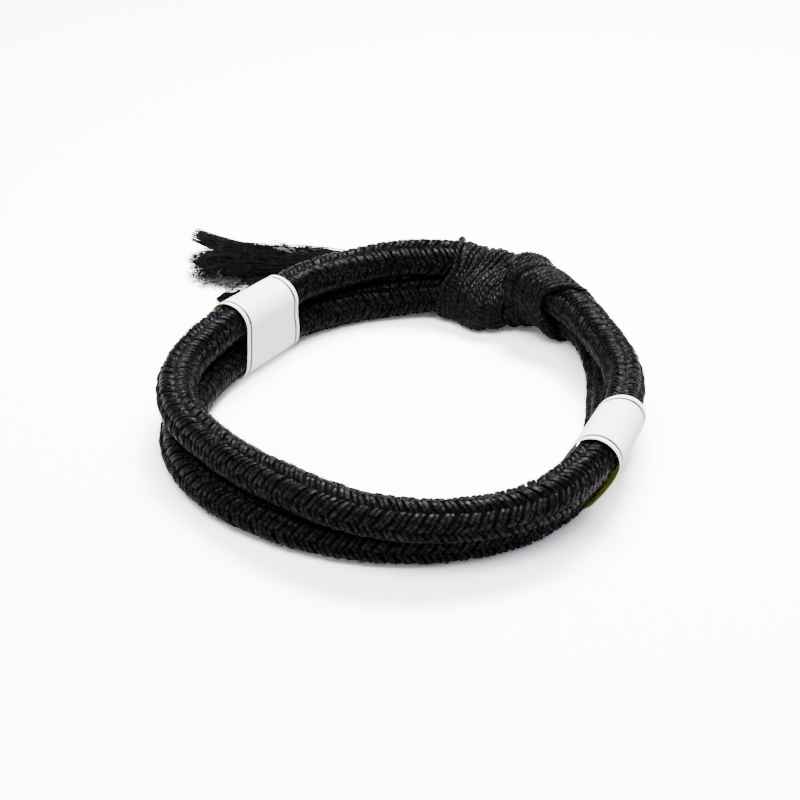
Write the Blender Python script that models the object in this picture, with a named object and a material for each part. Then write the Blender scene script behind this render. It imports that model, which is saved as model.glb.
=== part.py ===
"""An igal head cord: a thick braided cord that goes twice round the head and lies in two coils, one on the other.

A binding of thin rope holds the coils together where the cord climbs from the lower coil to the upper one and
its two ends lie. A tassel of loose yarn leaves the binding and lies behind the coils, and two blank paper bands
go round both coils. Metres, +Z up. Bearings go round the ring in degrees: 0 is +X and 90 is +Y, the back.
"""

import math

import bmesh
import bpy
import numpy as np
from mathutils import Vector

# Driving sizes
COIL_REACH = 0.0900  # from the ring's centre to the middle of the cord, where a share in ROUTE is 1
CORD_THICK = 0.0153
WRAP_THICK = 0.0031
BAND_THICK = 0.0006
TASSEL_LENGTH = 0.1270
TASSEL_WIDTH = 0.0560  # of the fan at its free end
TASSEL_HEIGHT = 0.0145
TASSEL_NECK = 0.0094
TASSEL_TURN = 7.0  # degrees away from the coils
TAIL_THICK = 0.0036
TAIL_LENGTH = 0.0190

# Clearances
STRAND_GAP = 0.0004  # between stretches of the cord that touch
PIECE_GAP = 0.0003  # between two pieces that meet
WALL_GAP = 0.0006  # inside the binding and the bands, whose walls are flat between their corners

# Where things sit, as bearings
CROSSING_SPAN = (40.0, 84.0)  # the cord climbs from the lower coil to the upper one
BINDING_SPAN = (43.0, 78.0)
CORD_START = 62.0
CORD_END = 56.0
NECK_HELD = 8.0  # how much bearing of the tassel's neck the binding holds
TAIL_WAY = 14.0  # how far above level, on the outer side of the upper coil
BANDS = (
    # name, bearing, width along the cord
    ("band_left", 141.5, 0.0355),
    ("band_right", 329.0, 0.0310),
)
LIFT_RUN = 32.0  # the cord comes back down to the floor over this much bearing

# The plan of both coils: bearing, and the reach of each coil as a share of COIL_REACH
ROUTE = (
    # bearing, lower, upper
    (0, 0.880, 0.940),
    (20, 0.960, 0.930),
    (40, 1.075, 0.980),
    (60, 1.095, 1.045),
    (80, 1.055, 1.065),
    (100, 1.030, 1.065),
    (120, 0.975, 0.970),
    (140, 0.915, 0.875),
    (160, 0.915, 0.915),
    (180, 0.965, 0.990),
    (200, 1.020, 1.010),
    (220, 1.040, 0.990),
    (240, 1.040, 1.020),
    (260, 1.045, 1.100),
    (280, 1.045, 1.130),
    (300, 1.015, 1.105),
    (320, 0.940, 1.010),
    (340, 0.885, 0.950),
)
LOWER, UPPER = 1, 2  # the columns of ROUTE

# How far the cord's two ends are pushed inward under the binding, as shares of CORD_THICK
START_PUSH = 0.56
END_PUSH = 0.26

# Where the binding swells: bearing, spread in degrees, the way it points (0 out, 90 up), height in WRAP_THICK
SWELLINGS = (
    # bearing, spread, way, height
    (69.0, 7.0, 205.0, 0.90),
    (53.0, 5.0, 235.0, 0.70),
    (76.5, 1.8, 85.0, 0.25),
    (49.0, 4.5, 55.0, 1.00),
)

# Locks of the tassel: where each leaves and ends across the fan (0 is next to the coils, 1 is the far edge), and
# its height at the tip, length, width and thickness as shares of the tassel's height, length, width and height
LOCKS = (
    # start, end, tip_height, length, width, thick
    (0.32, 0.06, 0.28, 0.93, 0.24, 0.56),
    (0.40, 0.24, 0.36, 0.98, 0.26, 0.74),
    (0.46, 0.42, 0.42, 1.00, 0.26, 0.86),
    (0.52, 0.60, 0.46, 0.97, 0.26, 0.84),
    (0.60, 0.78, 0.52, 0.99, 0.24, 0.72),
    (0.66, 0.93, 0.66, 1.06, 0.16, 0.50),
)
LOCK_ROOT = 0.34  # share of the tassel's length where the locks part from the trunk
LOCK_ROOT_HEIGHT = 0.48  # the middle of a lock there, as a share of TASSEL_HEIGHT

# How full a lock is along it, as a share of its width and thickness
LOCK_FULLNESS = (
    # along, full
    (0.00, 0.80),
    (0.35, 1.00),
    (0.60, 0.86),
    (0.80, 0.52),
    (1.00, 0.05),
)

# The tassel's trunk along its length: width as a share of the fan's, height as a share of TASSEL_HEIGHT
TRUNK = (
    # along, width, height
    (0.00, 0.22, 0.75),
    (0.15, 0.26, 0.80),
    (0.35, 0.40, 0.94),
    (0.55, 0.58, 1.00),
    (0.72, 0.70, 0.90),
)

LOCK_STEP = 0.00015  # each lock lies this much higher than the one before, and all of them above the trunk's foot
SETTLED = 0.3  # share of the tassel's length past which it lies on the floor, and grows to both sides

CORD_SIDES = 12
CORD_STEP = 4.0  # degrees of bearing between sections, halved in the crossing
PLAN_SAMPLES = 360
BINDING_SIDES = 32
GROOVE_DEPTH = 0.38  # of the groove between two turns, as a share of WRAP_THICK
END_AHEAD = 6.0  # the wall starts to make room for an end this many degrees before it,
END_RUN = 5.0  # and has made it after this many
SLANT_LIMIT = 0.7  # the least cosine of a strand's slant that the wall counts
BINDING_LEAN = 6.0  # how far, in degrees, the top of the middle turns runs ahead of their foot
STEPS_PER_TURN = 2
BAND_SIDES = 32
BAND_SECTIONS = 5
TAIL_SECTIONS = 8
LOCK_SIDES = 8
LOCK_SECTIONS = 9
TRUNK_SIDES = 16
HULL_WAYS = 72
HULL_LIMIT = 0.15  # a wall that faces a way by less than this cosine doesn't bound it

CORD_RADIUS = CORD_THICK / 2
FLAT_RADIUS = CORD_RADIUS * math.cos(math.pi / CORD_SIDES)  # from the cord's middle to its flat sides
COIL_SPACING = CORD_THICK + STRAND_GAP
NECK_RADIUS = TASSEL_NECK / 2
TAU = 2 * math.pi


def smooth(share):
    """From 0 to 1 with level ends."""
    share = min(1.0, max(0.0, share))
    return 0.5 - 0.5 * math.cos(math.pi * share)


def reach(bearing, coil):
    """A coil's reach at any bearing, on a smooth closed curve through ROUTE's rows."""
    place = (bearing % 360.0) * len(ROUTE) / 360.0
    row = int(place)
    part = place - row
    before, here, after, beyond = (ROUTE[(row + k) % len(ROUTE)][coil] for k in (-1, 0, 1, 2))
    bend = 2 * before - 5 * here + 4 * after - beyond
    twist = 3 * here - 3 * after + beyond - before
    return COIL_REACH * (here + 0.5 * part * (after - before + part * (bend + part * twist)))


def plan_point(bearing, coil):
    angle = math.radians(bearing)
    return Vector((math.cos(angle), math.sin(angle), 0.0)) * reach(bearing, coil)


LOWER_PLAN = np.array([plan_point(k * 360.0 / PLAN_SAMPLES, LOWER)[:2] for k in range(PLAN_SAMPLES)])


def half_span(length, bearing):
    """Half of a length along the coils, in degrees of bearing."""
    return math.degrees(length / 2 / reach(bearing, LOWER))


def floor_lift(bearing):
    """How far the lower coil is held off the floor by the binding and the bands that go under it."""
    first, last = BINDING_SPAN
    under = [((first + last) / 2, (last - first) / 2, WRAP_THICK + WALL_GAP)]
    for _, middle, width in BANDS:
        under.append((middle, half_span(width, middle), BAND_THICK + WALL_GAP))
    total = 0.0
    for middle, half, height in under:
        away = abs((bearing - middle + 180.0) % 360.0 - 180.0) - half
        total += ((height + CORD_RADIUS - FLAT_RADIUS) * smooth(1 - away / LIFT_RUN)) ** 4
    return total**0.25


def coil_rise(bearing):
    """How far the upper coil's middle is above the lower one's, where the two just touch."""
    apart = np.hypot(*(LOWER_PLAN - np.array(plan_point(bearing, UPPER)[:2])).T).min()
    return math.sqrt(max(COIL_SPACING**2 - apart**2, (0.5 * COIL_SPACING) ** 2))


def coil_points(bearing):
    """The middle of the lower coil and of the upper coil at a bearing."""
    lower = plan_point(bearing, LOWER)
    lower.z = FLAT_RADIUS + floor_lift(bearing)
    upper = plan_point(bearing, UPPER)
    upper.z = lower.z + coil_rise(bearing)
    return lower, upper


def pair_frame(bearing):
    """The middle of the two coils, the way along them, the way out and the way up, square to each other."""
    before, here, after = (sum(coil_points(bearing + k), Vector()) / 2 for k in (-1.0, 0.0, 1.0))
    along = (after - before).normalized()
    outward = along.cross(Vector((0, 0, 1))).normalized()
    return here, along, outward, outward.cross(along)


def in_frame(frame, out, up, lead=0.0):
    here, along, outward, upward = frame
    return here + outward * out + upward * up + along * lead


def crossing_strands(bearing, frame):
    """Under the binding, the cord's start, the stretch that climbs and the cord's end, as (out, up, lead)."""
    first, last = CROSSING_SPAN
    lower, upper = ((p - frame[0]) for p in coil_points(bearing))
    low = Vector((lower.dot(frame[2]), lower.dot(frame[3]), lower.dot(frame[1])))
    high = Vector((upper.dot(frame[2]), upper.dot(frame[3]), upper.dot(frame[1])))
    climb = smooth((bearing - first) / (last - first))
    start = low.copy()
    start.x -= START_PUSH * CORD_THICK * smooth((last - bearing) / (last - CORD_START))
    end = high.copy()
    end.x -= END_PUSH * CORD_THICK * smooth((bearing - first) / (CORD_END - first))
    climber = low.lerp(high, climb)
    beside_start = start.x + math.sqrt(max(0.0, COIL_SPACING**2 - (climber.y - start.y) ** 2))
    beside_end = end.x + math.sqrt(max(0.0, COIL_SPACING**2 - (climber.y - end.y) ** 2))
    share = smooth((bearing - CORD_END) / (CORD_START - CORD_END))
    climber.x = beside_end + share * (beside_start - beside_end)
    return start, climber, end


def cord_point(travel):
    """The cord's middle after so many degrees of travel: the lower coil comes first, then the upper one."""
    turn, bearing = divmod(travel, 360.0)
    first, last = CROSSING_SPAN
    if first < bearing < last:
        frame = pair_frame(bearing)
        return in_frame(frame, *crossing_strands(bearing, frame)[int(turn)])
    return coil_points(bearing)[travel > 360.0 + first]


def ring_of(middle, side, up, radius, count, squash=1.0):
    """Points round a section, with a flat side facing down."""
    angles = [(k + 0.5) * TAU / count for k in range(count)]
    return [middle + side * radius * math.sin(a) - up * radius * squash * math.cos(a) for a in angles]


def bridge(bm, lower_ring, upper_ring):
    count = len(lower_ring)
    for k in range(count):
        nearby = (k + 1) % count
        bm.faces.new((lower_ring[k], lower_ring[nearby], upper_ring[nearby], upper_ring[k]))


def make_object(name, bm, colour, roughness, parent):
    bmesh.ops.recalc_face_normals(bm, faces=bm.faces)
    mesh = bpy.data.meshes.new(name)
    bm.to_mesh(mesh)
    bm.free()
    mesh.shade_smooth()
    mesh.set_sharp_from_angle(angle=math.radians(50))
    obj = bpy.data.objects.new(name, mesh)
    bpy.context.collection.objects.link(obj)
    obj.parent = parent
    material = bpy.data.materials.new(name)
    material.use_nodes = True
    shader = material.node_tree.nodes["Principled BSDF"]
    shader.inputs["Base Color"].default_value = (*colour, 1.0)
    shader.inputs["Roughness"].default_value = roughness
    mesh.materials.append(material)
    return obj


def loft(rings):
    """A closed body through rings of points, capped at both ends."""
    bm = bmesh.new()
    made = [[bm.verts.new(p) for p in ring] for ring in rings]
    for one, other in zip(made, made[1:]):
        bridge(bm, one, other)
    bm.faces.new(made[0])
    bm.faces.new(made[-1])
    return bm


def sleeve(outer_rings, inner_rings):
    """A closed wall between two sets of rings, open right through."""
    bm = bmesh.new()
    outer = [[bm.verts.new(p) for p in ring] for ring in outer_rings]
    inner = [[bm.verts.new(p) for p in ring] for ring in inner_rings]
    for one, other in zip(outer, outer[1:]):
        bridge(bm, one, other)
    for one, other in zip(inner, inner[1:]):
        bridge(bm, one, other)
    bridge(bm, outer[0], inner[0])
    bridge(bm, outer[-1], inner[-1])
    return bm


def cord_sections():
    """Degrees of travel at each section of the cord, closer together in the crossing."""
    first, last = CROSSING_SPAN
    travel = CORD_START
    found = []
    while travel < 720.0 + CORD_END - CORD_STEP / 4:
        found.append(travel)
        inside = first - CORD_STEP < travel % 360.0 < last + CORD_STEP / 2
        travel += CORD_STEP / 2 if inside else CORD_STEP
    return found + [720.0 + CORD_END]


def swept(points, radius, count):
    """Rings across a line of points, square to it, each with a flat side down."""
    rings = []
    for k, here in enumerate(points):
        ahead = points[min(k + 1, len(points) - 1)] - points[max(k - 1, 0)]
        side = ahead.cross(Vector((0, 0, 1))).normalized()
        rings.append(ring_of(here, side, side.cross(ahead).normalized(), radius, count))
    return rings


def head_cord(parent):
    points = [cord_point(travel) for travel in cord_sections()]
    bm = loft(swept(points, CORD_RADIUS, CORD_SIDES))
    return make_object("head_cord", bm, (0.012, 0.012, 0.014), 0.62, parent)


def hull_reach(way, circles):
    """From the frame's middle to the wall stretched round circles of (out, up, radius), along one way."""
    found = math.inf
    for k in range(HULL_WAYS):
        facing = k * TAU / HULL_WAYS
        lean = math.cos(way - facing)
        if lean > HULL_LIMIT:
            wall = max(out * math.cos(facing) + up * math.sin(facing) + radius for out, up, radius in circles)
            found = min(found, wall / lean)
    return found


def neck_place(bearing, frame):
    """Where the tassel's neck lies, beside the lower coil on its outer side, as (out, up)."""
    beside = crossing_strands(bearing, frame)[0]
    low = (coil_points(bearing)[0] - frame[0]).dot(frame[3])
    return beside.x + CORD_RADIUS + NECK_RADIUS + WALL_GAP, low + NECK_RADIUS - CORD_RADIUS


def slope_factor(bearing, strand):
    """How much wider a strand that runs at a slant is, across the binding."""
    ends = []
    for k in (-1.0, 1.0):
        frame = pair_frame(bearing + k)
        ends.append(in_frame(frame, *crossing_strands(bearing + k, frame)[strand]))
    lean = (ends[1] - ends[0]).normalized().dot(pair_frame(bearing)[1])
    return 1.0 / max(SLANT_LIMIT, lean)


def bound_circles(bearing, frame):
    """What the binding goes round: circles of (out, up, radius). An end that stops fades into the strand beside."""
    start, climber, end = crossing_strands(bearing, frame)
    circles = [(climber.x, climber.y, CORD_RADIUS * slope_factor(bearing, 1))]
    start_share = smooth((bearing - CORD_START + END_AHEAD) / END_RUN)
    end_share = smooth((CORD_END - bearing + END_AHEAD) / END_RUN)
    for strand, number, share in ((start, 0, start_share), (end, 2, end_share)):
        if share > 0.0:
            place = climber.lerp(strand, share)
            circles.append((place.x, place.y, CORD_RADIUS * slope_factor(bearing, number)))
    neck_share = smooth((bearing - BINDING_SPAN[1] + NECK_HELD + END_AHEAD) / END_RUN)
    if neck_share > 0.0:
        out, up = neck_place(bearing, frame)
        circles.append((climber.x + neck_share * (out - climber.x), climber.y + neck_share * (up - climber.y),
                        NECK_RADIUS))
    return circles


def swelling(bearing, way):
    """How far the binding stands proud of an even winding."""
    total = 0.0
    for middle, spread, facing, height in SWELLINGS:
        near = math.exp(-(((bearing - middle) / spread) ** 2))
        total += WRAP_THICK * height * near * max(0.0, math.cos(way - math.radians(facing))) ** 2
    return total


def binding_point(bearing, way, proud):
    """A point of the wall round the strands, so far proud of them, kept above the floor."""
    frame = pair_frame(bearing)
    distance = hull_reach(way, bound_circles(bearing, frame)) + WALL_GAP + proud
    point = in_frame(frame, distance * math.cos(way), distance * math.sin(way))
    return Vector((point.x, point.y, max(0.0, point.z)))


def binding(parent):
    first, last = BINDING_SPAN
    length = math.radians(last - first) * reach((first + last) / 2, LOWER)
    turns = round(length / WRAP_THICK)
    ways = [k * TAU / BINDING_SIDES for k in range(BINDING_SIDES)]
    outer = []
    for step in range(turns * STEPS_PER_TURN + 1):
        along = step / (turns * STEPS_PER_TURN)
        bearing = first + (last - first) * along
        rib = WRAP_THICK * (1 - GROOVE_DEPTH * abs(math.cos(math.pi * step / STEPS_PER_TURN)))
        lean = BINDING_LEAN * math.sin(math.pi * along) ** 2
        outer.append([])
        for way in ways:
            place = bearing - lean * math.sin(way)
            outer[-1].append(binding_point(place, way, rib + swelling(place, way)))
    count = round((last - first) / (CORD_STEP / 2))
    inner = [[binding_point(first + (last - first) * k / count, way, 0.0) for way in ways]
             for k in range(count + 1)]
    return make_object("binding", sleeve(outer, inner), (0.016, 0.016, 0.018), 0.6, parent)


def tail_point(bearing):
    """Beside the upper coil, on its outer side."""
    aside = CORD_RADIUS + PIECE_GAP + TAIL_THICK / 2
    way = math.radians(TAIL_WAY)
    outward = pair_frame(bearing)[2]
    return coil_points(bearing)[1] + outward * aside * math.cos(way) + Vector((0, 0, aside * math.sin(way)))


def binding_tail(parent):
    """The free end of the wrapping rope, which runs out along the outer side of the upper coil."""
    mouth = BINDING_SPAN[0]
    frame = pair_frame(mouth)
    overhang = (tail_point(mouth) - frame[0]).dot(frame[1])
    first = mouth - math.degrees((overhang + 2 * PIECE_GAP) / reach(mouth, UPPER))
    span = math.degrees(TAIL_LENGTH / reach(first, UPPER))
    points = [tail_point(first - span * k / TAIL_SECTIONS) for k in range(TAIL_SECTIONS + 1)]
    bm = loft(swept(points, TAIL_THICK / 2, LOCK_SIDES))
    return make_object("binding_tail", bm, (0.016, 0.016, 0.018), 0.6, parent)


def band(name, middle, width, parent):
    """A blank paper sleeve that goes round both coils."""
    half = half_span(width, middle)
    ways = [k * TAU / BAND_SIDES for k in range(BAND_SIDES)]
    outer = []
    inner = []
    for k in range(BAND_SECTIONS):
        bearing = middle - half + 2 * half * k / (BAND_SECTIONS - 1)
        frame = pair_frame(bearing)
        circles = []
        for coil in coil_points(bearing):
            circles.append(((coil - frame[0]).dot(frame[2]), (coil - frame[0]).dot(frame[3]), CORD_RADIUS))
        for rings, proud in ((outer, WALL_GAP + BAND_THICK), (inner, WALL_GAP)):
            reaches = [hull_reach(way, circles) + proud for way in ways]
            rings.append([in_frame(frame, r * math.cos(w), r * math.sin(w)) for r, w in zip(reaches, ways)])
    return make_object(name, sleeve(outer, inner), (0.86, 0.85, 0.80), 0.5, parent)


def shares_at(rows, place, column):
    """A column of a short table at any place, eased between its rows."""
    for one, other in zip(rows, rows[1:]):
        if place <= other[0]:
            part = smooth((place - one[0]) / (other[0] - one[0]))
            return one[column] + part * (other[column] - one[column])
    return rows[-1][column]


def tassel_frame():
    """The foot of the tassel's neck at the binding, and the ways along it and across it, away from the coils."""
    bearing = BINDING_SPAN[1]
    frame = pair_frame(bearing)
    foot = in_frame(frame, *neck_place(bearing, frame))
    outward = Vector((frame[2].x, frame[2].y, 0.0)).normalized()
    along = Vector((frame[1].x, frame[1].y, 0.0)).normalized()
    turn = math.radians(TASSEL_TURN)
    return foot, along * math.cos(turn) + outward * math.sin(turn), outward * math.cos(turn) - along * math.sin(turn)


def neck_rings():
    """The tassel's neck inside the binding, up to its end."""
    last = BINDING_SPAN[1]
    rings = []
    for back in (NECK_HELD, NECK_HELD / 2, 0.0):
        frame = pair_frame(last - back)
        middle = in_frame(frame, *neck_place(last - back, frame))
        rings.append(ring_of(middle, frame[2], frame[3], NECK_RADIUS, TRUNK_SIDES))
    return rings


def trunk_rings(foot, along, across):
    rings = neck_rings()
    count = 2 * len(TRUNK) - 2
    for row in range(1, count + 1):
        place = TRUNK[-1][0] * row / count
        half_width = max(NECK_RADIUS, TASSEL_WIDTH * shares_at(TRUNK, place, 1) / 2)
        half_height = TASSEL_HEIGHT * shares_at(TRUNK, place, 2) / 2
        settled = smooth(place / SETTLED)
        middle = foot + along * TASSEL_LENGTH * place + across * (half_width - NECK_RADIUS) * (1 - settled)
        middle.z = foot.z + (half_height - foot.z) * settled
        rings.append(ring_of(middle, across, Vector((0, 0, 1)), half_width, TRUNK_SIDES, half_height / half_width))
    return rings


def lock_rings(foot, along, across, number, lock):
    start, end, tip_height, length, width, thick = lock
    along_rows, full_rows = zip(*LOCK_FULLNESS)
    rings = []
    for k in range(LOCK_SECTIONS):
        part = k / (LOCK_SECTIONS - 1)
        place = LOCK_ROOT + (length - LOCK_ROOT) * part
        aside = (start + (end - start) * part**0.8 - 0.5) * TASSEL_WIDTH
        full = float(np.interp(part, along_rows, full_rows))
        half_width = TASSEL_WIDTH * width * full / 2
        half_thick = TASSEL_HEIGHT * thick * full / 2
        middle = foot + along * TASSEL_LENGTH * place + across * aside
        height = TASSEL_HEIGHT * (LOCK_ROOT_HEIGHT + (tip_height - LOCK_ROOT_HEIGHT) * part)
        middle.z = max(half_thick, height) + LOCK_STEP * number
        rings.append(ring_of(middle, across, Vector((0, 0, 1)), half_width, LOCK_SIDES, half_thick / half_width))
    return rings


def tassel(parent):
    """A trunk of loose yarn whose locks are fused to it and spread at their tips."""
    placed = tassel_frame()
    colour = (0.010, 0.010, 0.011)
    trunk = make_object("tassel", loft(trunk_rings(*placed)), colour, 0.8, parent)
    for number, lock in enumerate(LOCKS, 1):
        piece = make_object(f"tassel_lock_{number}", loft(lock_rings(*placed, number, lock)), colour, 0.8, parent)
        piece.hide_render = True
        piece.display_type = "WIRE"
        fuse = trunk.modifiers.new(piece.name, "BOOLEAN")
        fuse.operation = "UNION"
        fuse.object = piece
    return trunk


def main():
    for obj in list(bpy.data.objects):
        bpy.data.objects.remove(obj, do_unlink=True)
    ring_centre = bpy.data.objects.new("ring_centre", None)
    bpy.context.collection.objects.link(ring_centre)
    pieces = [head_cord(ring_centre), binding(ring_centre), binding_tail(ring_centre), tassel(ring_centre)]
    pieces += [band(*row, ring_centre) for row in BANDS]
    corners = np.array([v.co for obj in bpy.data.objects if obj.type == "MESH" for v in obj.data.vertices])
    lowest, highest = corners.min(axis=0), corners.max(axis=0)
    ring_centre.location = (-(lowest[0] + highest[0]) / 2, -(lowest[1] + highest[1]) / 2, -lowest[2])


main()
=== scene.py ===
"""Looks of an igal head cord: a braided cord in two coils, a rope binding, a tassel and two paper bands."""

import math

import bpy
import numpy as np
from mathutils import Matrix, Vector


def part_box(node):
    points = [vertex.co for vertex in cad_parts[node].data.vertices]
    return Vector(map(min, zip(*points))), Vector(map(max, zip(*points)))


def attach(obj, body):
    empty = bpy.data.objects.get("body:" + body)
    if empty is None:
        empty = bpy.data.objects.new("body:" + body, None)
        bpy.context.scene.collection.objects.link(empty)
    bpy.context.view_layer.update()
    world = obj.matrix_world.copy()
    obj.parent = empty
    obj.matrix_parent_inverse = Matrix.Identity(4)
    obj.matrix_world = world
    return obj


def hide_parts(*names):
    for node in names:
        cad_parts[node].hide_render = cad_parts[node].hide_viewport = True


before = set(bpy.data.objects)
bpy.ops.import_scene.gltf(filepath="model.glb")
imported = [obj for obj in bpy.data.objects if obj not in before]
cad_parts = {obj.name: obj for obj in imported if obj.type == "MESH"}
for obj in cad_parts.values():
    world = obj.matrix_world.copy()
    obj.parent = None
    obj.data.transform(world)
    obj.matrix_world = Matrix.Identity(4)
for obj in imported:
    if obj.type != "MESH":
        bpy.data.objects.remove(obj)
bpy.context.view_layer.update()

rng = np.random.default_rng(11)
TAU = 2 * math.pi

# The route and the sizes as the solids have them: metres, and bearings in degrees
COIL_REACH = 0.0900
CORD_THICK = 0.0153
WRAP_THICK = 0.0031
BAND_THICK = 0.0006
TASSEL_LENGTH = 0.1270
TASSEL_WIDTH = 0.0560
TASSEL_HEIGHT = 0.0145
TASSEL_NECK = 0.0094
TASSEL_TURN = 7.0
TAIL_THICK = 0.0036
TAIL_LENGTH = 0.0190
STRAND_GAP = 0.0004
WALL_GAP = 0.0006
CROSSING_SPAN = (40.0, 84.0)
BINDING_SPAN = (43.0, 78.0)
CORD_START = 62.0
CORD_END = 56.0
NECK_HELD = 8.0
TAIL_WAY = 14.0
BANDS = (
    # name, bearing, width along the cord
    ("band_left", 141.5, 0.0355),
    ("band_right", 329.0, 0.0310),
)
LIFT_RUN = 32.0
ROUTE = (
    # bearing, lower, upper
    (0, 0.880, 0.940),
    (20, 0.960, 0.930),
    (40, 1.075, 0.980),
    (60, 1.095, 1.045),
    (80, 1.055, 1.065),
    (100, 1.030, 1.065),
    (120, 0.975, 0.970),
    (140, 0.915, 0.875),
    (160, 0.915, 0.915),
    (180, 0.965, 0.990),
    (200, 1.020, 1.010),
    (220, 1.040, 0.990),
    (240, 1.040, 1.020),
    (260, 1.045, 1.100),
    (280, 1.045, 1.130),
    (300, 1.015, 1.105),
    (320, 0.940, 1.010),
    (340, 0.885, 0.950),
)
LOWER = 1
UPPER = 2
START_PUSH = 0.56
END_PUSH = 0.26
SWELLINGS = (
    # bearing, spread, way, height
    (69.0, 7.0, 205.0, 0.90),
    (53.0, 5.0, 235.0, 0.70),
    (76.5, 1.8, 85.0, 0.25),
    (49.0, 4.5, 55.0, 1.00),
)
LOCK_ROOT = 0.34
LOCK_ROOT_HEIGHT = 0.48
TRUNK = (
    # along, width, height
    (0.00, 0.22, 0.75),
    (0.15, 0.26, 0.80),
    (0.35, 0.40, 0.94),
    (0.55, 0.58, 1.00),
    (0.72, 0.70, 0.90),
)
SETTLED = 0.3
CORD_SIDES = 12
CORD_STEP = 4.0
PLAN_SAMPLES = 360
BINDING_LEAN = 6.0
END_AHEAD = 6.0
END_RUN = 5.0
SLANT_LIMIT = 0.7
HULL_WAYS = 72
HULL_LIMIT = 0.15
CORD_RADIUS = CORD_THICK / 2
FLAT_RADIUS = CORD_RADIUS * math.cos(math.pi / CORD_SIDES)
COIL_SPACING = CORD_THICK + STRAND_GAP
NECK_RADIUS = TASSEL_NECK / 2


def smooth(share):
    """A share from 0 to 1, eased at both ends."""
    share = min(1.0, max(0.0, share))
    return 0.5 - 0.5 * math.cos(math.pi * share)


def reach(bearing, coil):
    """How far out a coil lies at a bearing: a smooth curve through ROUTE."""
    place = (bearing % 360.0) * len(ROUTE) / 360.0
    row = int(place)
    part = place - row
    before, here, after, beyond = (ROUTE[(row + k) % len(ROUTE)][coil] for k in (-1, 0, 1, 2))
    bend = 2 * before - 5 * here + 4 * after - beyond
    twist = 3 * here - 3 * after + beyond - before
    return COIL_REACH * (here + 0.5 * part * (after - before + part * (bend + part * twist)))


def plan_point(bearing, coil):
    angle = math.radians(bearing)
    return Vector((math.cos(angle), math.sin(angle), 0.0)) * reach(bearing, coil)


LOWER_PLAN = np.array([plan_point(k * 360.0 / PLAN_SAMPLES, LOWER)[:2] for k in range(PLAN_SAMPLES)])


def half_span(length, bearing):
    """Half of a length along the cord, in degrees of the ring."""
    return math.degrees(length / 2 / reach(bearing, LOWER))


def floor_lift(bearing):
    """How far what is wrapped round the cord lifts it off the floor."""
    first, last = BINDING_SPAN
    under = [((first + last) / 2, (last - first) / 2, WRAP_THICK + WALL_GAP)]
    for _, middle, width in BANDS:
        under.append((middle, half_span(width, middle), BAND_THICK + WALL_GAP))
    total = 0.0
    for middle, half, height in under:
        away = abs((bearing - middle + 180.0) % 360.0 - 180.0) - half
        total += ((height + CORD_RADIUS - FLAT_RADIUS) * smooth(1 - away / LIFT_RUN)) ** 4
    return total**0.25


def coil_rise(bearing):
    apart = np.hypot(*(LOWER_PLAN - np.array(plan_point(bearing, UPPER)[:2])).T).min()
    return math.sqrt(max(COIL_SPACING**2 - apart**2, (0.5 * COIL_SPACING) ** 2))


def coil_points(bearing):
    lower = plan_point(bearing, LOWER)
    lower.z = FLAT_RADIUS + floor_lift(bearing)
    upper = plan_point(bearing, UPPER)
    upper.z = lower.z + coil_rise(bearing)
    return lower, upper


def pair_frame(bearing):
    """The middle of the two coils, the way along them, the way out and the way up, square to each other."""
    before, here, after = (sum(coil_points(bearing + k), Vector()) / 2 for k in (-1.0, 0.0, 1.0))
    along = (after - before).normalized()
    outward = along.cross(Vector((0, 0, 1))).normalized()
    return here, along, outward, outward.cross(along)


def in_frame(place, out, up, lead=0.0):
    here, along, outward, upward = place
    return here + outward * out + upward * up + along * lead


def crossing_strands(bearing, place):
    """The start, the climber and the end in the crossing, as (out, up, along)."""
    first, last = CROSSING_SPAN
    lower, upper = ((p - place[0]) for p in coil_points(bearing))
    low = Vector((lower.dot(place[2]), lower.dot(place[3]), lower.dot(place[1])))
    high = Vector((upper.dot(place[2]), upper.dot(place[3]), upper.dot(place[1])))
    climb = smooth((bearing - first) / (last - first))
    start = low.copy()
    start.x -= START_PUSH * CORD_THICK * smooth((last - bearing) / (last - CORD_START))
    end = high.copy()
    end.x -= END_PUSH * CORD_THICK * smooth((bearing - first) / (CORD_END - first))
    climber = low.lerp(high, climb)
    beside_start = start.x + math.sqrt(max(0.0, COIL_SPACING**2 - (climber.y - start.y) ** 2))
    beside_end = end.x + math.sqrt(max(0.0, COIL_SPACING**2 - (climber.y - end.y) ** 2))
    share = smooth((bearing - CORD_END) / (CORD_START - CORD_END))
    climber.x = beside_end + share * (beside_start - beside_end)
    return start, climber, end


def cord_point(travel):
    """The cord's middle at a travel, in degrees through both turns."""
    turn, bearing = divmod(travel, 360.0)
    first, last = CROSSING_SPAN
    if first < bearing < last:
        place = pair_frame(bearing)
        return in_frame(place, *crossing_strands(bearing, place)[int(turn)])
    return coil_points(bearing)[travel > 360.0 + first]


def hull_reach(way, circles):
    """How far it is, this way round, to the convex wall round some circles."""
    found = math.inf
    for k in range(HULL_WAYS):
        facing = k * TAU / HULL_WAYS
        lean = math.cos(way - facing)
        if lean > HULL_LIMIT:
            walls = [out * math.cos(facing) + up * math.sin(facing) + radius for out, up, radius in circles]
            found = min(found, max(walls) / lean)
    return found


def neck_place(bearing, place):
    """Where the tassel's neck lies beside the strands, as (out, up)."""
    beside = crossing_strands(bearing, place)[0]
    low = (coil_points(bearing)[0] - place[0]).dot(place[3])
    return beside.x + CORD_RADIUS + NECK_RADIUS + WALL_GAP, low + NECK_RADIUS - CORD_RADIUS


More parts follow.
